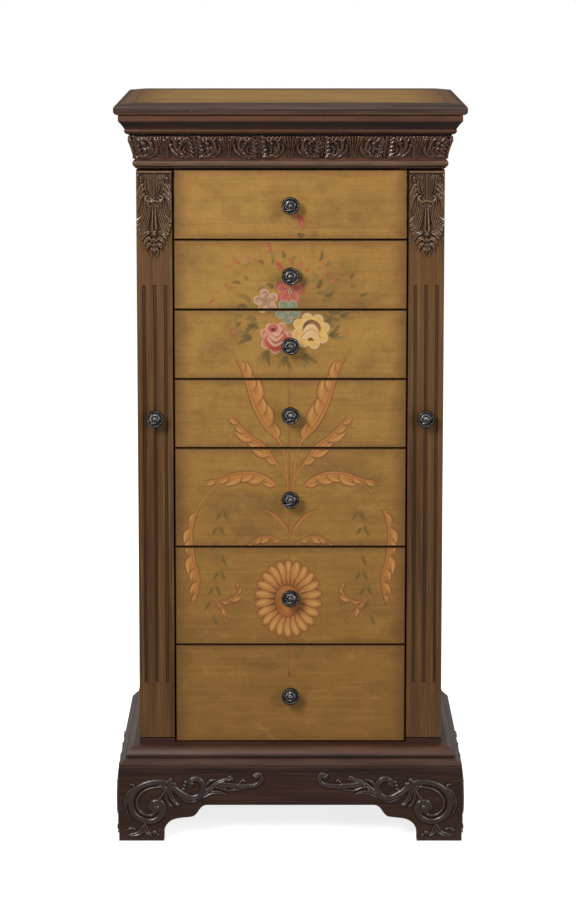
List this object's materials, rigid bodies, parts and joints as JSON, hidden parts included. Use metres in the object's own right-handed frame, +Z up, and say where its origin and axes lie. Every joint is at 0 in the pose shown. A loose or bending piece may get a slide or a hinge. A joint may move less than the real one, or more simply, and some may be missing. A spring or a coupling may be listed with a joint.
{
  "type": "jewelry armoire",
  "caption": "Tall jewelry armoire with painted drawers, side doors behind fluted pilasters for hanging necklaces, a mirrored lift-up lid over a divided tray, and a scrolled plinth.",
  "frame": {"origin": "on the floor, under the middle of the whole object's bounding box", "axes": "+X to the viewer's right, +Y to the back so the drawers face -Y, +Z up"},
  "size_m": [0.48, 0.3532, 1.016],
  "materials": {
    "painted_front": "gold-ochre paint with flowers and scrolls, under satin varnish",
    "painted_parchment": "parchment-like ochre paint under satin varnish",
    "stained_wood": "reddish brown stain, satin",
    "dark_wood": "dark brown stain rubbed back on the edges, satin",
    "carved_wood": "carved, glazed dark in the hollows, glossy",
    "inner_wood": "plain wood, matt",
    "lined_wood": "wood flocked in dark red",
    "velvet": "dark red velvet over foam",
    "antique_metal": "blackened antique metal, rubbed bright on the rim",
    "brass_hardware": "plain brass, slightly aged",
    "magnet_case": "brown plastic",
    "mirror_glass": "silvered glass"
  },
  "bodies": {
    "carcass": {"back_panel": "inner_wood", "base_moulding": "dark_wood", "bead_moulding": "dark_wood", "carcass_floor": "dark_wood", "crown_moulding": "dark_wood", "door_hinge_body_leaves": "brass_hardware", "door_magnets": "magnet_case", "drawer_runners": "inner_wood", "foot_blocks": "inner_wood", "frieze_moulding": "carved_wood", "lid_hinge_body_leaves": "brass_hardware", "partition_left": "inner_wood", "partition_right": "inner_wood", "plinth_back": "inner_wood", "plinth_carvings": "carved_wood", "plinth_front": "dark_wood", "plinth_sides": "dark_wood", "rear_posts": "inner_wood", "ring_rolls": "velvet", "tray_dividers": "lined_wood", "tray_floor": "lined_wood", "tray_walls": "lined_wood"},
    "lid": {"lid_frame": "dark_wood", "lid_panel": "painted_parchment", "lid_mirror": "mirror_glass", "mirror_frame": "dark_wood", "lid_hinge_lid_leaves": "brass_hardware"},
    "door_left": {"door_left_carving": "carved_wood", "door_left_frame": "stained_wood", "door_left_hardware": "brass_hardware", "door_left_hooks": "brass_hardware", "door_left_knob": "antique_metal", "door_left_panel": "stained_wood"},
    "door_right": {"door_right_carving": "carved_wood", "door_right_frame": "stained_wood", "door_right_hardware": "brass_hardware", "door_right_hooks": "brass_hardware", "door_right_knob": "antique_metal", "door_right_panel": "stained_wood"},
    "drawer_1": {"drawer_1_front": "painted_front", "drawer_1_box": "inner_wood", "drawer_1_knob": "antique_metal"},
    "drawer_2": {"drawer_2_front": "painted_front", "drawer_2_box": "inner_wood", "drawer_2_knob": "antique_metal"},
    "drawer_3": {"drawer_3_front": "painted_front", "drawer_3_box": "inner_wood", "drawer_3_knob": "antique_metal"},
    "drawer_4": {"drawer_4_front": "painted_front", "drawer_4_box": "inner_wood", "drawer_4_knob": "antique_metal"},
    "drawer_5": {"drawer_5_front": "painted_front", "drawer_5_box": "inner_wood", "drawer_5_knob": "antique_metal"},
    "drawer_6": {"drawer_6_front": "painted_front", "drawer_6_box": "inner_wood", "drawer_6_knob": "antique_metal"},
    "drawer_7": {"drawer_7_front": "painted_front", "drawer_7_box": "inner_wood", "drawer_7_knob": "antique_metal"}
  },
  "joints": [
    {"name": "lid_hinge", "type": "hinge", "parent": "carcass", "child": "lid", "pos_m": [0, 0.1736, 1.0004], "axis": [-1, 0, 0], "range_deg": [0, 100]},
    {"name": "door_left_hinge", "type": "hinge", "parent": "carcass", "child": "door_left", "pos_m": [-0.2112, 0.148, 0.53185], "axis": [0, 0, -1], "range_deg": [0, 110]},
    {"name": "door_right_hinge", "type": "hinge", "parent": "carcass", "child": "door_right", "pos_m": [0.2112, 0.148, 0.53185], "axis": [0, 0, 1], "range_deg": [0, 110]},
    {"name": "drawer_1_slide", "type": "slide", "parent": "carcass", "child": "drawer_1", "axis": [0, -1, 0], "range_m": [0, 0.205]},
    {"name": "drawer_2_slide", "type": "slide", "parent": "carcass", "child": "drawer_2", "axis": [0, -1, 0], "range_m": [0, 0.205]},
    {"name": "drawer_3_slide", "type": "slide", "parent": "carcass", "child": "drawer_3", "axis": [0, -1, 0], "range_m": [0, 0.205]},
    {"name": "drawer_4_slide", "type": "slide", "parent": "carcass", "child": "drawer_4", "axis": [0, -1, 0], "range_m": [0, 0.205]},
    {"name": "drawer_5_slide", "type": "slide", "parent": "carcass", "child": "drawer_5", "axis": [0, -1, 0], "range_m": [0, 0.205]},
    {"name": "drawer_6_slide", "type": "slide", "parent": "carcass", "child": "drawer_6", "axis": [0, -1, 0], "range_m": [0, 0.205]},
    {"name": "drawer_7_slide", "type": "slide", "parent": "carcass", "child": "drawer_7", "axis": [0, -1, 0], "range_m": [0, 0.205]}
  ]
}
